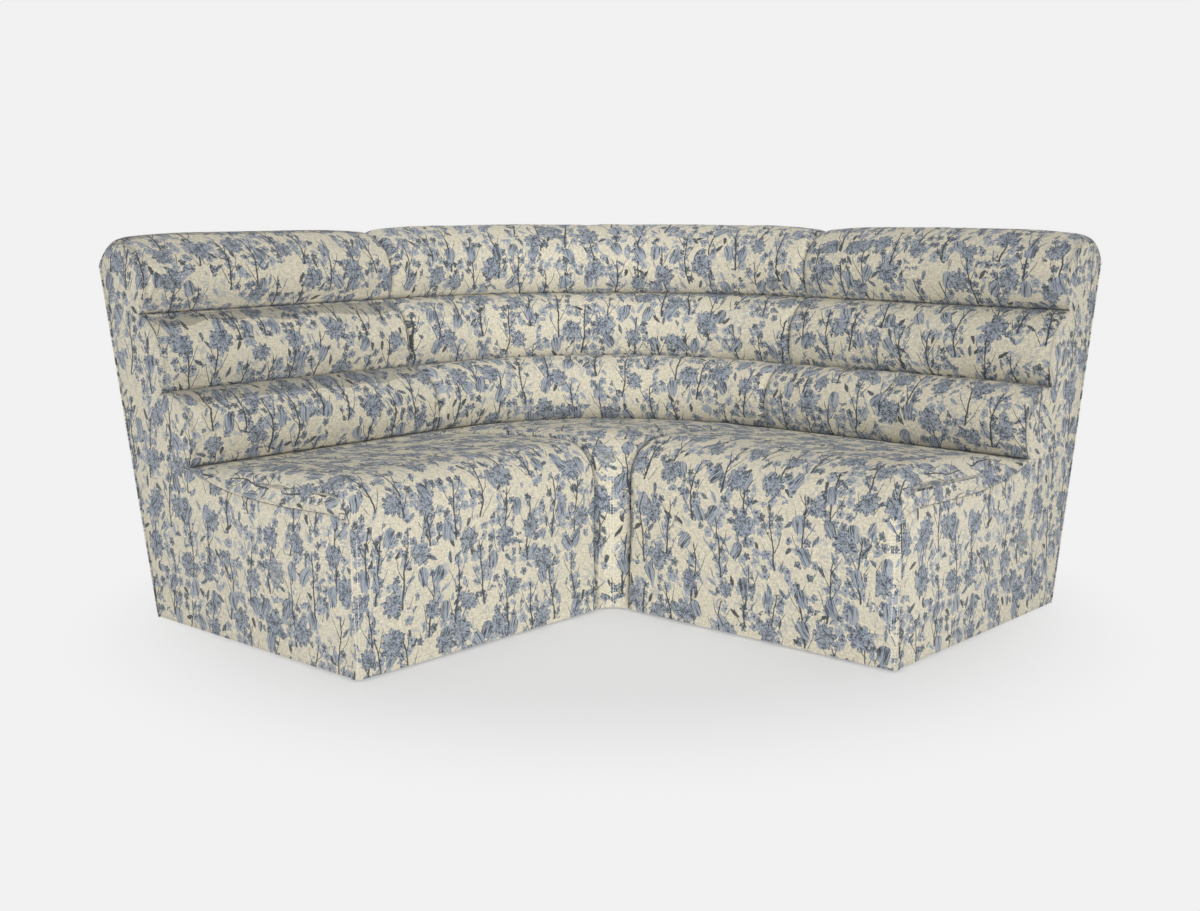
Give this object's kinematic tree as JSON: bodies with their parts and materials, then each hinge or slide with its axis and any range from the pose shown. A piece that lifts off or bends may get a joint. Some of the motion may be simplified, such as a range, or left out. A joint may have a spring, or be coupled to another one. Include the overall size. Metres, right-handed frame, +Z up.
{
  "type": "modular corner sofa",
  "caption": "Armless modular corner sofa with a quarter-round corner module, two straight modules, rolled channel backs, waterfall seats and a floral cover.",
  "frame": {"origin": "on the floor, at the middle of the footprint's bounding box", "axes": "+Z up; the right straight module runs along +X from the corner module and its seat faces -Y; the left straight module runs along -Y and its seat faces +X"},
  "size_m": [1.8602, 1.8602, 0.9742],
  "materials": {
    "upholstery": "cream linen weave printed with a blue floral",
    "padding": "open-cell foam",
    "lining": "black non-woven cloth",
    "webbing": "woven elastic strap",
    "plywood": "unfinished birch plywood",
    "steel": "zinc-plated steel",
    "nylon": "black nylon"
  },
  "bodies": {
    "corner_module": {"corner_left_side_panel": "plywood", "corner_right_side_panel": "plywood", "corner_centre_rib": "plywood", "corner_front_post": "plywood", "corner_seat_rear_rail": "plywood", "corner_base_rear_rail": "plywood", "corner_back_rails": "plywood", "corner_seat_webbing": "webbing", "corner_seat_foam": "padding", "corner_seat_cover": "upholstery", "corner_top_roll_foam": "padding", "corner_middle_roll_foam": "padding", "corner_lower_roll_foam": "padding", "corner_back_cover": "upholstery", "corner_outside_back_cover": "upholstery", "corner_side_covers": "upholstery", "corner_dust_cover": "lining", "corner_glides": "nylon", "corner_connector_sockets": "steel", "corner_connector_screws": "steel"},
    "left_module": {"left_outer_side_panel": "plywood", "left_inner_side_panel": "plywood", "left_centre_rib": "plywood", "left_front_board": "plywood", "left_seat_rear_rail": "plywood", "left_base_rear_rail": "plywood", "left_back_rails": "plywood", "left_seat_webbing": "webbing", "left_seat_foam": "padding", "left_seat_cover": "upholstery", "left_top_roll_foam": "padding", "left_middle_roll_foam": "padding", "left_lower_roll_foam": "padding", "left_back_cover": "upholstery", "left_outside_back_cover": "upholstery", "left_side_covers": "upholstery", "left_dust_cover": "lining", "left_glides": "nylon", "left_connector_tongues": "steel", "left_connector_screws": "steel"},
    "right_module": {"right_outer_side_panel": "plywood", "right_inner_side_panel": "plywood", "right_centre_rib": "plywood", "right_front_board": "plywood", "right_seat_rear_rail": "plywood", "right_base_rear_rail": "plywood", "right_back_rails": "plywood", "right_seat_webbing": "webbing", "right_seat_foam": "padding", "right_seat_cover": "upholstery", "right_top_roll_foam": "padding", "right_middle_roll_foam": "padding", "right_lower_roll_foam": "padding", "right_back_cover": "upholstery", "right_outside_back_cover": "upholstery", "right_side_covers": "upholstery", "right_dust_cover": "lining", "right_glides": "nylon", "right_connector_tongues": "steel", "right_connector_screws": "steel"}
  },
  "joints": [
    {"name": "left_module_slide", "type": "slide", "parent": "corner_module", "child": "left_module", "axis": [0, -1, 0], "range_m": [0, 0.3]},
    {"name": "right_module_slide", "type": "slide", "parent": "corner_module", "child": "right_module", "axis": [1, 0, 0], "range_m": [0, 0.3]}
  ]
}
